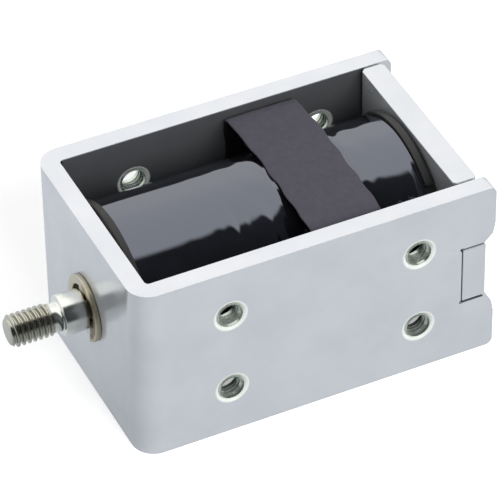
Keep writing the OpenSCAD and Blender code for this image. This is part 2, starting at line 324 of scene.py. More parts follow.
def mouth_highlight_group():
    """A mask that is 1 round the mouths of the four holes of a side wall, where a highlight is
    painted: the distance to the nearest hole's axis, found by folding the pattern over its own
    middle lines."""
    tree, given, result = new_group(
        "hole mouth painted highlight",
        [("Vector", VECTOR, None), ("Middle X", NUMBER, 0.0), ("Half X", NUMBER, 0.01),
         ("Middle Z", NUMBER, 0.0), ("Half Z", NUMBER, 0.005), ("Radius", NUMBER, 0.002)],
        [("Mask", NUMBER)],
    )
    parts = add_node(tree, "ShaderNodeSeparateXYZ", Vector=given.outputs["Vector"])
    squares = []
    for axis in ("X", "Z"):
        centred = add_node(tree, "ShaderNodeMath", {"operation": "SUBTRACT"},
                           n0=parts.outputs[axis], n1=given.outputs["Middle " + axis])
        folded = add_node(tree, "ShaderNodeMath", {"operation": "ABSOLUTE"},
                          n0=centred.outputs[0])
        away = add_node(tree, "ShaderNodeMath", {"operation": "SUBTRACT"},
                        n0=folded.outputs[0], n1=given.outputs["Half " + axis])
        squares.append(add_node(tree, "ShaderNodeMath", {"operation": "MULTIPLY"},
                                n0=away.outputs[0], n1=away.outputs[0]))
    total = add_node(tree, "ShaderNodeMath", {"operation": "ADD"},
                     n0=squares[0].outputs[0], n1=squares[1].outputs[0])
    distance = add_node(tree, "ShaderNodeMath", {"operation": "SQRT"}, n0=total.outputs[0])
    past = add_node(tree, "ShaderNodeMath", {"operation": "SUBTRACT"},
                    n0=distance.outputs[0], n1=given.outputs["Radius"])
    soft = add_node(tree, "ShaderNodeMapRange", Value=past.outputs[0], From_Min=0.0,
                    From_Max=0.25e-3, To_Min=1.0, To_Max=0.0)
    tree.links.new(soft.outputs[0], result.inputs["Mask"])
    return tree


def seam_grime_group():
    """A mask that is 1 along the joint round a plate's key in a side wall: the distance to
    the outline of the region past Edge X and within Half Z of the middle height."""
    tree, given, result = new_group(
        "seam grime",
        [("Vector", VECTOR, None), ("Edge X", NUMBER, 0.0), ("Middle Z", NUMBER, 0.0),
         ("Half Z", NUMBER, 0.004), ("Reach", NUMBER, 0.1e-3)],
        [("Mask", NUMBER)],
    )
    parts = add_node(tree, "ShaderNodeSeparateXYZ", Vector=given.outputs["Vector"])
    before = add_node(tree, "ShaderNodeMath", {"operation": "SUBTRACT"},
                      n0=given.outputs["Edge X"], n1=parts.outputs["X"])
    centred = add_node(tree, "ShaderNodeMath", {"operation": "SUBTRACT"},
                       n0=parts.outputs["Z"], n1=given.outputs["Middle Z"])
    folded = add_node(tree, "ShaderNodeMath", {"operation": "ABSOLUTE"}, n0=centred.outputs[0])
    above = add_node(tree, "ShaderNodeMath", {"operation": "SUBTRACT"},
                     n0=folded.outputs[0], n1=given.outputs["Half Z"])
    outside = add_node(tree, "ShaderNodeMath", {"operation": "MAXIMUM"},
                       n0=before.outputs[0], n1=above.outputs[0])
    distance = add_node(tree, "ShaderNodeMath", {"operation": "ABSOLUTE"}, n0=outside.outputs[0])
    soft = add_node(tree, "ShaderNodeMapRange", {"interpolation_type": "SMOOTHSTEP"},
                    Value=distance.outputs[0], From_Min=0.0,
                    From_Max=given.outputs["Reach"], To_Min=1.0, To_Max=0.0)
    tree.links.new(soft.outputs[0], result.inputs["Mask"])
    return tree


def clip_highlight_group():
    """For a ring about the plunger axis: where a highlight is painted, as two masks: how near the
    point is to the ring's outer rounding, and how far over to the +Y side and the top it lies."""
    tree, given, result = new_group(
        "clip painted highlight",
        [("Vector", VECTOR, None), ("Inner", NUMBER, 0.0037), ("Outer", NUMBER, 0.004)],
        [("Edge", NUMBER), ("Shoulder", NUMBER)],
    )
    parts = add_node(tree, "ShaderNodeSeparateXYZ", Vector=given.outputs["Vector"])
    lowered = add_node(tree, "ShaderNodeMath", {"operation": "SUBTRACT"},
                       n0=parts.outputs["Z"], n1=AXIS_Z)
    across = add_node(tree, "ShaderNodeMath", {"operation": "MULTIPLY"},
                      n0=parts.outputs["Y"], n1=parts.outputs["Y"])
    squares = add_node(tree, "ShaderNodeMath", {"operation": "MULTIPLY_ADD"},
                       n0=lowered.outputs[0], n1=lowered.outputs[0], n2=across.outputs[0])
    radius = add_node(tree, "ShaderNodeMath", {"operation": "SQRT"}, n0=squares.outputs[0])
    edge = add_node(tree, "ShaderNodeMapRange", {"interpolation_type": "SMOOTHSTEP"},
                    Value=radius.outputs[0], From_Min=given.outputs["Inner"],
                    From_Max=given.outputs["Outer"])
    over = add_node(tree, "ShaderNodeMath", {"operation": "MULTIPLY_ADD"},
                    n0=lowered.outputs[0], n1=0.35, n2=parts.outputs["Y"])
    shoulder = add_node(tree, "ShaderNodeMapRange", {"interpolation_type": "SMOOTHSTEP"},
                        Value=over.outputs[0], From_Min=0.4e-3, From_Max=1.4e-3)
    tree.links.new(edge.outputs[0], result.inputs["Edge"])
    tree.links.new(shoulder.outputs[0], result.inputs["Shoulder"])
    return tree


CLOUDY_TONE = cloudy_tone_group()
MOUTH_HIGHLIGHT = mouth_highlight_group()
SEAM_GRIME = seam_grime_group()
CLIP_HIGHLIGHT = clip_highlight_group()
INSIDE_SHADE_BOX = inside_shade_box_group()
FINE_GRAIN = grain_group()
TURNED_MARKS = turned_marks_group()


# ---------------------------------------------------------------- materials

def new_material(name):
    """A material with a Principled shader and Object coordinates, ready for its finish."""
    material = bpy.data.materials.new(name)
    material.use_nodes = True
    tree = material.node_tree
    shader = tree.nodes["Principled BSDF"]
    place = tree.nodes.new("ShaderNodeTexCoord").outputs["Object"]
    return material, tree, shader, place


def add_group(tree, group, **inputs):
    return add_node(tree, "ShaderNodeGroup", {"node_tree": group}, **inputs)


def roughness_range(tree, shader, mask, low, high, clamp=True):
    """Roughness that runs from low to high as the mask runs from 0 to 1."""
    spread = add_node(tree, "ShaderNodeMapRange", {"clamp": clamp}, Value=mask, To_Min=low,
                      To_Max=high)
    tree.links.new(spread.outputs[0], shader.inputs["Roughness"])


def bump(tree, shader, height, distance, strength=1.0):
    """Feeds a height into the shader's normal, at a depth given in metres."""
    made = add_node(tree, "ShaderNodeBump", Height=height, Distance=distance, Strength=strength)
    tree.links.new(made.outputs[0], shader.inputs["Normal"])
    return made


def blend(tree, mask, under, over):
    """A colour that goes from under to over as the mask runs from 0 to 1."""
    return add_node(tree, "ShaderNodeMix", {"data_type": "RGBA"}, Factor=mask, n6=under,
                    n7=over).outputs[2]


# Near black painted shade for the inner faces of the frame.
INSIDE_PAINTED_SHADE = (0.0022, 0.003, 0.004, 1.0)
# Pale painted highlight round the hole mouths, with a low metal share.
MOUTH_PAINTED_HIGHLIGHT = (0.74, 0.78, 0.74, 1.0)
MOUTH_HIGHLIGHT_SHINE = 0.15
INSIDE_ROUGHENING = 2.2
GRIME = (0.03, 0.036, 0.036, 1.0)
ROLLED_GRAIN = 5200.0


def plated_metal(name, tone_a, tone_b, low, high, cloud_scale=160.0, shine=1.0,
                 grain_depth=0.6e-6, recess=None, mouths=None, seam=None):
    """Zinc plate: two close blue-grey tones in soft clouds, and a faint rolled grain. Inside
    the box given as recess a near black painted shade is laid on and the roughness rises.
    Round the hole mouths a pale, less metallic painted highlight is laid on, and grime fills the
    seam."""
    material, tree, shader, place = new_material(name)
    tone = add_group(tree, CLOUDY_TONE, Vector=place, Scale=cloud_scale, Tone_A=tone_a,
                     Tone_B=tone_b, Contrast=2.2)
    grain = add_group(tree, FINE_GRAIN, Vector=place, Scale=ROLLED_GRAIN)
    shader.inputs["Metallic"].default_value = shine
    shader.inputs["Specular IOR Level"].default_value = 0.0
    colour, mask = tone.outputs["Color"], tone.outputs["Mask"]
    # Painted shade: inside the recess box the colour goes near black, standing in for the shade
    # inside the frame, and the roughness rises.
    if recess is not None:
        inside = add_group(tree, INSIDE_SHADE_BOX, Vector=place, Middle=recess[0], Half=recess[1])
        colour = blend(tree, inside.outputs["Mask"], colour, INSIDE_PAINTED_SHADE)
        mask = add_node(tree, "ShaderNodeMath", {"operation": "MULTIPLY_ADD"},
                        n0=inside.outputs["Mask"], n1=INSIDE_ROUGHENING, n2=mask).outputs[0]
    # Painted highlight: round the hole mouths the colour goes pale and the metal share drops,
    # standing in for light on the chamfers.
    if mouths is not None:
        ring = add_group(tree, MOUTH_HIGHLIGHT, Vector=place, **mouths)
        colour = blend(tree, ring.outputs["Mask"], colour, MOUTH_PAINTED_HIGHLIGHT)
        metal = add_node(tree, "ShaderNodeMapRange", Value=ring.outputs["Mask"], To_Min=shine,
                         To_Max=MOUTH_HIGHLIGHT_SHINE)
        tree.links.new(metal.outputs[0], shader.inputs["Metallic"])
    if seam is not None:
        grime = add_group(tree, SEAM_GRIME, Vector=place, **seam)
        colour = blend(tree, grime.outputs["Mask"], colour, GRIME)
    tree.links.new(colour, shader.inputs["Base Color"])
    roughness_range(tree, shader, mask, low, high, clamp=False)
    bump(tree, shader, grain.outputs["Height"], grain_depth)
    return material


def sprung_clip(name):
    """Spring steel under worn zinc: dull and brown on its face, with a painted highlight along
    the outer rounding and painted light over its far shoulder, the +Y side and top."""
    material, tree, shader, place = new_material(name)
    tone = add_group(tree, CLOUDY_TONE, Vector=place, Scale=900.0,
                     Tone_A=(0.10, 0.075, 0.035, 1.0), Tone_B=(0.17, 0.13, 0.07, 1.0),
                     Contrast=2.4)
    # Painted highlight: the outer rounding and the +Y side and top are painted lighter, standing
    # in for light falling there.
    edge_highlight = (0.46, 0.42, 0.30, 1.0)
    pale = (0.50, 0.47, 0.38, 1.0)
    highlight_masks = add_group(tree, CLIP_HIGHLIGHT, Vector=place, Inner=3.55 * MM, Outer=3.95 * MM)
    colour = blend(tree, highlight_masks.outputs["Edge"], tone.outputs["Color"], edge_highlight)
    colour = blend(tree, highlight_masks.outputs["Shoulder"], colour, pale)
    grain = add_group(tree, FINE_GRAIN, Vector=place, Scale=3000.0)
    tree.links.new(colour, shader.inputs["Base Color"])
    shader.inputs["Metallic"].default_value = 0.9
    roughness_range(tree, shader, tone.outputs["Mask"], 0.26, 0.38)
    bump(tree, shader, grain.outputs["Height"], 3e-6)
    return material


def turned_metal(name, tone_a, tone_b, low, high, marks_depth=0.5e-6, marks_scale=5000.0):
    """Turned and plated metal: close tones, and rings left by the tool."""
    material, tree, shader, place = new_material(name)
    tone = add_group(tree, CLOUDY_TONE, Vector=place, Scale=420.0, Tone_A=tone_a,
                     Tone_B=tone_b, Contrast=2.0)
    marks = add_group(tree, TURNED_MARKS, Vector=place, Scale=marks_scale)
    tree.links.new(tone.outputs["Color"], shader.inputs["Base Color"])
    shader.inputs["Metallic"].default_value = 1.0
    roughness_range(tree, shader, tone.outputs["Mask"], low, high)
    bump(tree, shader, marks.outputs["Height"], marks_depth)
    return material


def glossy_tape(name):
    """Black film tape: nearly black, smooth, and a little smeared by handling."""
    material, tree, shader, place = new_material(name)
    tone = add_group(tree, CLOUDY_TONE, Vector=place, Scale=300.0,
                     Tone_A=(0.004, 0.004, 0.005, 1.0), Tone_B=(0.009, 0.009, 0.012, 1.0),
                     Contrast=2.0)
    grain = add_group(tree, FINE_GRAIN, Vector=place, Scale=1400.0)
    tree.links.new(tone.outputs["Color"], shader.inputs["Base Color"])
    shader.inputs["IOR"].default_value = 1.75
    shader.inputs["Specular IOR Level"].default_value = 1.0
    shader.inputs["Specular Tint"].default_value = (0.76, 0.84, 1.0, 1.0)
    roughness_range(tree, shader, tone.outputs["Mask"], 0.04, 0.10)
    bump(tree, shader, grain.outputs["Height"], 1.5e-6)
    return material


def grey_cloth(name):
    """Matte cloth tape: short fibres pressed flat, in two close greys."""
    material, tree, shader, place = new_material(name)
    tone = add_group(tree, CLOUDY_TONE, Vector=place, Scale=1300.0,
                     Tone_A=(0.066, 0.062, 0.080, 1.0), Tone_B=(0.086, 0.081, 0.102, 1.0),
                     Contrast=1.6)
    grain = add_group(tree, FINE_GRAIN, Vector=place, Scale=3600.0, Stretch=(1.0, 0.45, 0.45))
    tree.links.new(tone.outputs["Color"], shader.inputs["Base Color"])
    shader.inputs["Roughness"].default_value = 0.9
    shader.inputs["Specular IOR Level"].default_value = 0.25
    shader.inputs["Sheen Weight"].default_value = 0.06
    shader.inputs["Sheen Roughness"].default_value = 0.5
    bump(tree, shader, grain.outputs["Height"], 40e-6)
    return material


def moulded_plastic(name, tone_a, tone_b, low, high):
    """Moulded plastic with a faint satin texture."""
    material, tree, shader, place = new_material(name)
    tone = add_group(tree, CLOUDY_TONE, Vector=place, Scale=500.0, Tone_A=tone_a,
                     Tone_B=tone_b, Contrast=1.8)
    grain = add_group(tree, FINE_GRAIN, Vector=place, Scale=4200.0)
    tree.links.new(tone.outputs["Color"], shader.inputs["Base Color"])
    roughness_range(tree, shader, tone.outputs["Mask"], low, high)
    bump(tree, shader, grain.outputs["Height"], 4e-6)
    return material


def grey(value, blue=0.0):
    """A near grey, with its blue lifted by a share of the value."""
    return (value, value * (1 + blue / 2), value * (1 + blue), 1.0)


# The box inside the frame where a near black painted shade is laid on the sheet.
INSIDE = (
    (0.004, 0.0, AXIS_Z),
    (0.0199, float(frame_high[1]) - 2.27 * MM, AXIS_Z - 0.12 * MM),
)
HOLES = next(m for m in frame["record"]["mounts"] if m["name"] == "near_side_holes")
MOUTHS = {
    "Middle_X": HOLES["pos_m"][0],
    "Half_X": HOLES["dims"]["spacing_x_mm"] / 2 * MM,
    "Middle_Z": HOLES["pos_m"][2],
    "Half_Z": HOLES["dims"]["spacing_y_mm"] / 2 * MM,
    "Radius": 1.95 * MM,
}
SEAM = {
    "Edge_X": float(plate_low[0]) - 0.05 * MM,
    "Middle_Z": AXIS_Z,
    "Half_Z": 4.05 * MM,
    "Reach": 0.16 * MM,
}
ZINC_SHEET = plated_metal("zinc_sheet", (0.595, 0.625, 0.665, 1.0), (0.665, 0.69, 0.72, 1.0),
                          0.15, 0.22, shine=0.6, recess=INSIDE, mouths=MOUTHS, seam=SEAM)
ZINC_PLATE = plated_metal("zinc_plate_metal", (0.59, 0.62, 0.655, 1.0), (0.66, 0.685, 0.71, 1.0),
                          0.20, 0.28, shine=0.6, seam=SEAM)
THREAD_STEEL = plated_metal("thread_steel", (0.46, 0.52, 0.47, 1.0), (0.66, 0.72, 0.66, 1.0),
                            0.18, 0.30, cloud_scale=1500.0, shine=0.8)
ROD_STEEL = turned_metal("rod_steel", (0.68, 0.71, 0.68, 1.0), (0.75, 0.78, 0.75, 1.0),
                         0.18, 0.25)
STUD_STEEL = turned_metal("stud_steel", (0.40, 0.40, 0.34, 1.0), (0.52, 0.52, 0.46, 1.0),
                          0.20, 0.28)
PLUNGER_IRON = turned_metal("plunger_iron", grey(0.60), grey(0.68), 0.2, 0.3, 1.0e-6)
POLE_IRON = turned_metal("pole_iron", grey(0.55), grey(0.62), 0.28, 0.38, 1.0e-6)
BRASS = turned_metal("drawn_brass", (0.75, 0.56, 0.26, 1.0), (0.80, 0.62, 0.32, 1.0),
                     0.22, 0.32)
BRONZE = turned_metal("sintered_bronze", (0.55, 0.38, 0.18, 1.0), (0.62, 0.45, 0.24, 1.0),
                      0.4, 0.55, marks_depth=4e-6, marks_scale=2500.0)
COPPER = turned_metal("copper_wire", (0.72, 0.33, 0.16, 1.0), (0.80, 0.42, 0.22, 1.0),
                      0.25, 0.35, marks_depth=20e-6, marks_scale=3000.0)
CLIP_STEEL = sprung_clip("clip_steel")
BLACK_TAPE = glossy_tape("black_film_tape")
GREY_CLOTH = grey_cloth("grey_cloth_tape")
BOBBIN_PLASTIC = moulded_plastic("bobbin_moulding", grey(0.010), grey(0.018, 0.05),
                                 0.5, 0.65)
# Near black painted shade for the band's side in the shade of the far wall.
CLOTH_PAINTED_SHADE = moulded_plastic("cloth_tape_painted_shade", grey(0.004), grey(0.009), 0.5, 0.7)
SLEEVE_PLASTIC = moulded_plastic("shrink_sleeve", grey(0.012), grey(0.02), 0.3, 0.45)


# ---------------------------------------------------------------- threads and the rod

def thread_height(phase):
    """Height of a thread's flank, from 0 at the root to 1 at the crest, where phase counts
    turns of the thread. Root and crest are short flats, joined by slopes eased at both ends."""
    share = np.mod(phase, 1.0)
    tent = 1.0 - np.abs(2.0 * share - 1.0)
    slope = np.clip((tent - 0.16) / 0.68, 0.0, 1.0)
    return 0.5 - 0.5 * np.cos(math.pi * slope)


def smooth_step(value, low, high):
    """Runs from 0 at low to 1 at high, level at both ends."""
    share = np.clip((value - low) / (high - low), 0.0, 1.0)
    return share * share * (3.0 - 2.0 * share)


def rod_profile():
    """The rod's plain outline, as distances from its tip and radii, in millimetres."""
    front_play, back_play = 0.05, 0.025
    stud = 5.4
    rod_in_front = 3.6
    wall = (frame_low[0] - rod_low[0]) / MM
    end = (rod_high[0] - rod_low[0]) / MM
    groove_front = (ring_low[0] - rod_low[0]) / MM - front_play
    groove_back = (ring_high[0] - rod_low[0]) / MM + back_play
    shoulder = wall - rod_in_front
    return stud, shoulder, groove_front, groove_back, end


def push_rod_mesh():
    """The rod as one surface of revolution whose radius also depends on the angle where the
    thread is cut: radius = core + depth * thread_height(turns - distance / pitch), held under
    the tip's chamfer and faded out towards the neck."""
    stud, shoulder, groove_front, groove_back, end = rod_profile()
    major, pitch, core = 2.0, 0.7, 1.56
    neck_r, rod_r, groove_r = 1.775, 2.5, 2.0
    tip, tip_r, tip_slope, run_out = 0.12, 1.62, 1.15, 0.55
    step = 0.001
    angle = turn(112)
    cut = np.arange(tip, stud - step, pitch / 13)[:, None]
    turns = angle / (2 * math.pi)
    ridge = thread_height(cut / pitch - turns)
    fade = 1.0 - smooth_step(cut, stud - run_out, stud)
    threaded = core + (major - core) * ridge
    threaded = neck_r + (threaded - neck_r) * fade
    chamfer = tip_r + (cut - tip) * tip_slope
    threaded = np.minimum(threaded, chamfer)
    face_x = np.array([0.0, 0.0, 0.02, 0.06])[:, None]
    face_r = np.array([0.4, 1.46, 1.54, 1.59])[:, None] + 0 * angle
    edge, fillet, lip = 0.16, 0.14, 0.02
    ease = np.linspace(0.0, math.pi / 2, 6)[:, None]
    after_x = np.concatenate([
        [stud + 0.02, stud + 0.25, shoulder - fillet],
        (shoulder - fillet + fillet * np.sin(ease[:, 0])),
        [shoulder + step],
        (shoulder + edge - edge * np.cos(ease[:, 0])),
        [groove_front - 4 * lip, groove_front - lip, groove_front, groove_front + step,
         groove_back - step, groove_back, groove_back + lip, groove_back + 4 * lip,
         end - 0.3, end - step, end],
    ])[:, None]
    after_r = np.concatenate([
        [neck_r, neck_r, neck_r],
        (neck_r + fillet - fillet * np.cos(ease[:, 0])),
        [rod_r - edge - lip],
        (rod_r - edge + edge * np.sin(ease[:, 0])),
        [rod_r, rod_r, rod_r - lip, groove_r, groove_r, rod_r - lip, rod_r, rod_r,
         rod_r, rod_r - 0.2, 0.4],
    ])[:, None]
    x = np.vstack([face_x, cut, after_x])
    radius = np.vstack([face_r, threaded, after_r + 0 * angle])
    return grid_mesh(around_axis(rod_low[0] + x * MM, radius * MM, angle))


def tapped_thread_mesh(x, z, outer, inward):
    """One tapped thread as a closed ring of surface in a side wall: inside, the radius is
    root - depth * thread_height(turns - distance / pitch), run out into the chamfer at both
    mouths, and outside it lies just beyond the plain hole."""
    wall = 2.3
    root, depth, pitch, chamfer = 1.5, 0.27, 0.5, 0.5
    skin = 0.02
    angle = turn(72)
    turns = angle / (2 * math.pi)
    along = np.arange(skin, wall - skin / 2, pitch / 12)[:, None]
    ridge = thread_height(along / pitch - turns)
    mouth = np.minimum(along, wall - along)
    reach = root + chamfer - skin / 2 - mouth
    inside = np.maximum(root - depth * ridge, np.minimum(reach, root + skin))
    back = np.array([wall - skin, skin])[:, None]
    outside = np.full_like(back, root + 1.5 * skin) + 0 * angle
    distance = np.vstack([along, back])
    radius = np.vstack([inside, outside]) * MM
    place = np.stack(np.broadcast_arrays(
        x + radius * np.cos(angle),
        outer + inward * distance * MM,
        z + radius * np.sin(angle),
    ), axis=-1)
    return grid_mesh(place, loop=True)


def hole_places():
    """The side holes' places along the frame and up it, from the record's hole pattern."""
    return [(MOUTHS["Middle_X"] + i * MOUTHS["Half_X"], MOUTHS["Middle_Z"] + j * MOUTHS["Half_Z"])
            for i in (-1, 1) for j in (-1, 1)]


def add_tapped_threads():
    """The eight tapped threads, each a lining that rides with the wall it is cut in."""
    for side, outer, inward in (("near", frame_low[1], 1.0), ("far", frame_high[1], -1.0)):
        for number, (x, z) in enumerate(hole_places(), start=1):
            mesh = tapped_thread_mesh(x, z, outer, inward)
            thread = show(mesh, f"{side}_thread_{number}", THREAD_STEEL)
            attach(thread, STATOR)


# ---------------------------------------------------------------- tape and band

def soft_waves(rng, along, angle, count, along_turns, angle_turns):
    """A sum of sine waves with seeded directions and phases, whole in number around the coil
    so that the surface joins up. Its height is about 1."""
    height = np.zeros(np.broadcast(along, angle).shape)
    for _ in range(count):
        k = rng.uniform(*along_turns)
        m = int(rng.integers(angle_turns[0], angle_turns[1] + 1))
        phase = rng.uniform(0, 2 * math.pi)
        tilt = rng.choice([-1, 1])
        height += np.sin(2 * math.pi * k * along + tilt * m * angle + phase)
    return height / math.sqrt(count / 2)


def pleats(rng, x, angle):
    """Depths of seeded pleats in the tape, in millimetres. Each is a narrow strip across the
    coil that drops away past an angle and comes back past another: a bell along the coil,
    times one smooth step down and one back up around it."""
    depth = np.zeros(np.broadcast(x, angle).shape)
    behind = np.linspace(band_high[0] + 0.8 * MM, tape_high[0] - 0.4 * MM, 5)
    before = np.linspace(band_low[0] - 9.0 * MM, band_low[0] - 0.6 * MM, 7)
    before_start, behind_start = 102, 116
    back_from, back_to = math.radians(30), math.radians(75)
    starts = np.radians(np.concatenate([
        before_start + rng.uniform(-6, 12, len(before)),
        behind_start + rng.uniform(-12, 12, len(behind))]))
    for place, start in zip(np.concatenate([before, behind]), starts):
        width = rng.uniform(0.35, 0.75) * MM
        amount = rng.uniform(0.10, 0.22)
        bell = np.exp(-((x - place) / width) ** 2)
        drop = smooth_step(angle, start, start + math.radians(rng.uniform(14, 22)))
        back = 1 - smooth_step(angle, start + back_from, start + back_to)
        depth += amount * bell * drop * back
    dimples, dimple_depth, dimple_turn = 26, 0.07, 0.35
    smooth_middle, smooth_reach = 95, 45
    for place in rng.uniform(tape_low[0], tape_high[0], dimples):
        start = rng.uniform(0, 2 * math.pi)
        width = rng.uniform(0.5, 1.1) * MM
        away = np.mod(angle - start + math.pi, 2 * math.pi) - math.pi
        if abs(math.degrees(start) - smooth_middle) > smooth_reach:
            depth += dimple_depth * np.exp(-((x - place) / width) ** 2
                                           - (away / dimple_turn) ** 2)
    return depth


def coil_tape_mesh():
    """The tape as a sleeve whose radius is the tape's own radius less its wrinkles: broad
    waves around the coil, puckers that fade away from the cloth band, and seeded pleats. It
    lies lower under the band."""
    rng = np.random.default_rng(41)
    broad_depth, pucker_depth, fade = 0.012, 0.025, 3.0
    rest, pressed, deepest, shallowest = 0.04, 0.12, 0.34, 0.01
    wall, edge, ramp = 0.35, 0.02, 0.5 * MM
    start, end = tape_low[0], tape_high[0]
    radius = (tape_high[2] - tape_low[2]) / 2
    angle = turn(420)
    along = np.linspace(0.0, 1.0, 300)[:, None]
    length = (end - start) / MM
    x = start + along * (end - start)
    broad = soft_waves(rng, along * length / 12.0, angle, 9, (-1.0, 1.0), (3, 6))
    pucker = soft_waves(rng, along * length / 5.0, angle, 8, (0.6, 1.6), (7, 12))
    band_edge = np.minimum(np.abs(x - band_low[0]), np.abs(x - band_high[0])) / MM
    worked = np.exp(-band_edge / fade)
    wrinkle = broad_depth * broad + pucker_depth * worked * pucker - pleats(rng, x, angle)
    under_band = smooth_step(x, band_low[0] - ramp, band_low[0]) * (
        1 - smooth_step(x, band_high[0], band_high[0] + ramp))
    sunk = (wrinkle - rest - pressed * under_band).clip(-deepest, -shallowest)
    outside = radius + sunk * MM
    inside = np.full((2, 1), radius - wall * MM) + 0 * angle
    x = np.vstack([x, [[end - edge * MM]], [[start + edge * MM]]])
    return grid_mesh(around_axis(x, np.vstack([outside, inside]), angle), loop=True)


def band_outline(count, inset):
    """Points across the frame around the band: flat beside the walls, crowned by a parabola
    above and below, with its corners rounded, spaced evenly along the way."""
    half = (band_high[1] - band_low[1]) / 2 - inset
    top = (band_high[2] - band_low[2]) / 2 - inset
    rise = 0.9 * MM
    corner = 0.3 * MM
    dense = np.linspace(0, 2 * math.pi, 7200, endpoint=False)
    side, up = np.cos(dense), np.sin(dense)
    power = 2.0 / 60.0
    y = half * np.sign(side) * np.abs(side) ** power
    z = (top - (y / half) ** 2 * rise) * np.sign(up) * np.abs(up) ** power
    y, z = round_corners(y, z, corner)
    step = np.hypot(np.diff(y, append=y[0]), np.diff(z, append=z[0]))
    way = np.concatenate([[0.0], np.cumsum(step)])
    wanted = np.linspace(0, way[-1], count, endpoint=False)
    y = np.interp(wanted, way, np.append(y, y[0]))
    z = np.interp(wanted, way, np.append(z, z[0]))
    return y, z


def round_corners(y, z, corner):
    """Rounds a closed outline by averaging its points over a stretch of the way around."""
    step = np.hypot(np.diff(y, append=y[0]), np.diff(z, append=z[0]))
    way = np.concatenate([[0.0], np.cumsum(step)])
    even = np.linspace(0, way[-1], 4000, endpoint=False)
    y = np.interp(even, way, np.append(y, y[0]))
    z = np.interp(even, way, np.append(z, z[0]))
    reach = max(3, int(corner * 1.2 / (way[-1] / 4000)))
    window = np.hanning(2 * reach + 3)[1:-1]
    window /= window.sum()
    wrap = len(window) // 2
    y = np.convolve(np.concatenate([y[-wrap:], y, y[:wrap]]), window, "valid")
    z = np.convolve(np.concatenate([z[-wrap:], z, z[:wrap]]), window, "valid")
    return y, z


def cloth_band_mesh():
    """The band as a closed strip: its outline across the frame, carried along the coil, with
    slightly wavy and rounded edges, low lumps and its own thickness."""
    rng = np.random.default_rng(7)
    around, outer_skin, inner_skin, reach = 520, 0.02 * MM, 0.19 * MM, 14 * MM
    hem, edge_wave, lump, edge_round = 0.1 * MM, 0.05 * MM, 0.012 * MM, 0.03 * MM
    y_out, z_out = band_outline(around, outer_skin)
    y_in, z_in = band_outline(around, inner_skin)
    share = np.linspace(0, 1, 60)[:, None]
    angle = turn(around)
    width = band_high[0] - band_low[0]
    waviness = edge_wave * soft_waves(rng, share * 0, angle, 8, (0, 0), (3, 24))
    ends = (np.abs(2 * share - 1)) ** 6
    x = band_low[0] + hem + share * (width - 2 * hem) + waviness * ends * np.sign(share - 0.5)
    lumps = lump * soft_waves(rng, share * 2.0, angle, 8, (0.4, 1.5), (6, 24))
    rounded = edge_round * ends
    scale = 1 - (np.abs(lumps) + rounded) / reach
    outer = np.stack(np.broadcast_arrays(
        x, y_out[None, :] * scale, AXIS_Z + z_out[None, :] * scale), axis=-1)
    inner = np.stack(np.broadcast_arrays(
        x[::-1], y_in[None, :] * scale[::-1], AXIS_Z + z_in[None, :] * scale[::-1]), axis=-1)
    return grid_mesh(np.concatenate([outer, inner], axis=0), loop=True)


def splice_meshes():
    """Each soldered joint's sleeve as a surface of revolution about its own axis: swollen
    over the solder in the middle and drawn in at both ends."""
    low, high = (np.array(c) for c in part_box("lead_splices"))
    radius = (high[2] - low[2]) / 2
    side = (high[1] - low[1]) / 2 - radius
    height = (low[2] + high[2]) / 2
    share = np.linspace(0, 1, 40)[:, None]
    angle = turn(32)
    drawn_in, swelling = 0.72, 0.25
    swell = radius * (drawn_in + swelling * np.sin(math.pi * share) ** 0.5)
    x = low[0] + share * (high[0] - low[0])
    for way in (-1, 1):
        yield grid_mesh(np.stack(np.broadcast_arrays(
            x, way * side + swell * np.cos(angle), height + swell * np.sin(angle)), axis=-1))


# ---------------------------------------------------------------- the pieces

def add_metal_pieces():
    """Each plated or turned construction node as a bevelled copy with its own finish."""
    for node, name, material, width, body in (
        ("frame", "bent_frame", ZINC_SHEET, 0.22 * MM, STATOR),
        ("end_plate", "keyed_end_plate", ZINC_PLATE, 0.15 * MM, STATOR),
        ("bobbin", "moulded_bobbin", BOBBIN_PLASTIC, 0.12 * MM, STATOR),
        ("fixed_pole", "riveted_pole", POLE_IRON, 0.10 * MM, STATOR),
        ("guide_tube", "rolled_guide_tube", BRASS, 0.08 * MM, STATOR),
        ("armature", "ground_plunger", PLUNGER_IRON, 0.12 * MM, PLUNGER),
        ("retaining_ring", "stamped_ring", CLIP_STEEL, 0.16 * MM, PLUNGER),
    ):
        piece = bevelled_copy(node, name, material, width)
        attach(piece, body)
        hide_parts(node)


def add_formed_pieces():
    """The pieces whose shape is worked out here: rod with its thread, tape, band and sleeves."""
    rod = show(push_rod_mesh(), "threaded_push_rod", ROD_STEEL)
    stud_end = rod_low[0] + 5.3 * MM
    second_finish(rod.data, STUD_STEEL, lambda middle: middle[:, 0] < stud_end)
    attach(rod, PLUNGER)
    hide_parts("push_rod")
    tape = show(coil_tape_mesh(), "wrinkled_coil_tape", BLACK_TAPE)
    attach(tape, STATOR)
    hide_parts("coil_tape")
    band = show(cloth_band_mesh(), "cloth_tape_band", GREY_CLOTH)
    # Painted shade: the band's faces by the far wall get the near black finish.
    wall_side = band_high[1] - 0.25 * MM
    second_finish(band.data, CLOTH_PAINTED_SHADE, lambda middle: middle[:, 1] > wall_side)
    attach(band, STATOR)
    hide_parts("cloth_band")
    for number, mesh in enumerate(splice_meshes(), start=1):
        sleeve = show(mesh, f"joint_sleeve_{number}", SLEEVE_PLASTIC)
        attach(sleeve, STATOR)
        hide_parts("lead_splices")


def finish_inner_nodes():
    """Materials for the construction nodes that are right as they are."""
    for node, material in (("winding", COPPER), ("rod_bush", BRONZE), ("stop_washer", BRASS)):
        data = frame["nodes"][node].data
        data.materials.clear()
        data.materials.append(material)


add_metal_pieces()
add_formed_pieces()
add_tapped_threads()
finish_inner_nodes()


# ---------------------------------------------------------------- floor and light

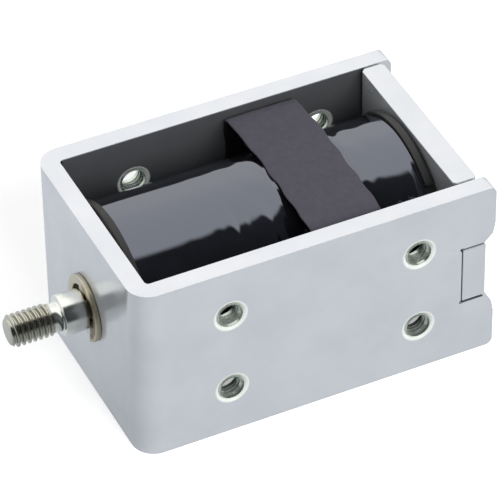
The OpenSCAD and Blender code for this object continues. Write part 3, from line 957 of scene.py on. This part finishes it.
def add_floor():
    """A pale floor that keeps a soft shadow and reads as white away from the object. In
    mirror-like surfaces it is bright behind the object, greyer on the near side, and dark
    far away on that side."""
    half = 1.5
    white = (1.0, 1.0, 1.0, 1.0)
    seen_glow = 0.46
    near_side, far_side, distance_dimming = 0.50, 0.92, 0.12
    mesh = bpy.data.meshes.new("floor")
    mesh.from_pydata([(-half, -half, 0), (half, -half, 0), (half, half, 0), (-half, half, 0)],
                     [], [(0, 1, 2, 3)])
    material = bpy.data.materials.new("pale_floor")
    material.use_nodes = True
    tree = material.node_tree
    shader = tree.nodes["Principled BSDF"]
    shader.inputs["Base Color"].default_value = (0.80, 0.80, 0.80, 1.0)
    shader.inputs["Roughness"].default_value = 0.9
    shader.inputs["Specular IOR Level"].default_value = 0.1
    shader.inputs["Emission Color"].default_value = white
    rays = tree.nodes.new("ShaderNodeLightPath")
    seen = add_node(tree, "ShaderNodeMath", {"operation": "MULTIPLY"},
                    n0=rays.outputs["Is Camera Ray"], n1=seen_glow)
    tree.links.new(seen.outputs[0], shader.inputs["Emission Strength"])
    place = tree.nodes.new("ShaderNodeTexCoord").outputs["Object"]
    parts = add_node(tree, "ShaderNodeSeparateXYZ", Vector=place)
    level = add_node(tree, "ShaderNodeMapRange", {"interpolation_type": "SMOOTHSTEP"},
                     Value=parts.outputs["Y"], From_Min=-0.02, From_Max=0.03,
                     To_Min=near_side, To_Max=far_side)
    near = add_node(tree, "ShaderNodeMapRange", {"interpolation_type": "SMOOTHSTEP"},
                    Value=parts.outputs["Y"], From_Min=-0.16, From_Max=-0.035,
                    To_Min=distance_dimming, To_Max=1.0)
    lit = add_node(tree, "ShaderNodeMath", {"operation": "MULTIPLY"}, n0=level.outputs[0],
                   n1=near.outputs[0])
    mirrored = add_node(tree, "ShaderNodeEmission", Color=(0.95, 0.99, 1.03, 1.0),
                        Strength=lit.outputs[0])
    either = add_node(tree, "ShaderNodeMixShader", n0=rays.outputs["Is Glossy Ray"],
                      n1=shader.outputs[0], n2=mirrored.outputs[0])
    tree.links.new(either.outputs[0], tree.nodes["Material Output"].inputs["Surface"])
    mesh.materials.append(material)
    floor = bpy.data.objects.new("floor", mesh)
    bpy.context.scene.collection.objects.link(floor)


def add_world():
    """A white room. In mirror-like surfaces a bright sweep rises from the floor behind the
    object, grows brighter upwards and ends a little past the zenith, and the near side is
    dark above the floor."""
    world = bpy.data.worlds.new("white_room")
    world.use_nodes = True
    bpy.context.scene.world = world
    tree = world.node_tree
    tree.nodes.clear()
    rays = tree.nodes.new("ShaderNodeLightPath")
    way = tree.nodes.new("ShaderNodeTexCoord").outputs["Generated"]
    parts = add_node(tree, "ShaderNodeSeparateXYZ", Vector=way)
    past_zenith = 0.16
    white = (1.0, 1.0, 1.0, 1.0)
    dark_side = (0.035, 0.038, 0.04, 1.0)
    horizon = (1.10, 1.08, 1.06, 1.0)
    overhead = (1.52, 1.47, 1.44, 1.0)
    side = add_node(tree, "ShaderNodeMath", {"operation": "MULTIPLY_ADD"},
                    n0=parts.outputs["Z"], n1=past_zenith, n2=parts.outputs["Y"])
    sweep = add_node(tree, "ShaderNodeMapRange", {"interpolation_type": "SMOOTHSTEP"},
                     Value=side.outputs[0], From_Min=-0.08, From_Max=0.04)
    climb = add_node(tree, "ShaderNodeMapRange", {"interpolation_type": "SMOOTHSTEP"},
                     Value=parts.outputs["Z"], From_Min=0.0, From_Max=0.6)
    bright = add_node(tree, "ShaderNodeMix", {"data_type": "RGBA"}, Factor=climb.outputs[0],
                      n6=horizon, n7=overhead)
    room = add_node(tree, "ShaderNodeMix", {"data_type": "RGBA"}, Factor=sweep.outputs[0],
                    n6=dark_side, n7=bright.outputs[2])
    mirrored = add_node(tree, "ShaderNodeBackground", Color=room.outputs[2], Strength=1.0)
    plain = add_node(tree, "ShaderNodeBackground", Color=white, Strength=0.62)
    backdrop = add_node(tree, "ShaderNodeBackground", Color=white, Strength=1.0)
    inner = add_node(tree, "ShaderNodeMixShader", n0=rays.outputs["Is Glossy Ray"],
                     n1=plain.outputs[0], n2=mirrored.outputs[0])
    outer = add_node(tree, "ShaderNodeMixShader", n0=rays.outputs["Is Camera Ray"],
                     n1=inner.outputs[0], n2=backdrop.outputs[0])
    output = tree.nodes.new("ShaderNodeOutputWorld")
    tree.links.new(outer.outputs[0], output.inputs["Surface"])


def add_lamp(name, place, aim, size, power):
    """A square soft lamp that lights matt surfaces and isn't mirrored itself."""
    data = bpy.data.lights.new(name, "AREA")
    data.shape = "SQUARE"
    data.size = size
    data.energy = power
    lamp = bpy.data.objects.new(name, data)
    lamp.location = place
    lamp.rotation_euler = (Vector(aim) - Vector(place)).to_track_quat("-Z", "Y").to_euler()
    lamp.visible_glossy = False
    bpy.context.scene.collection.objects.link(lamp)


add_floor()
add_world()
add_lamp("key", place=(0.15, -0.70, 0.45), aim=(0.0, 0.0, 0.01), size=0.55, power=6.5)
bpy.context.scene.view_settings.view_transform = "Standard"
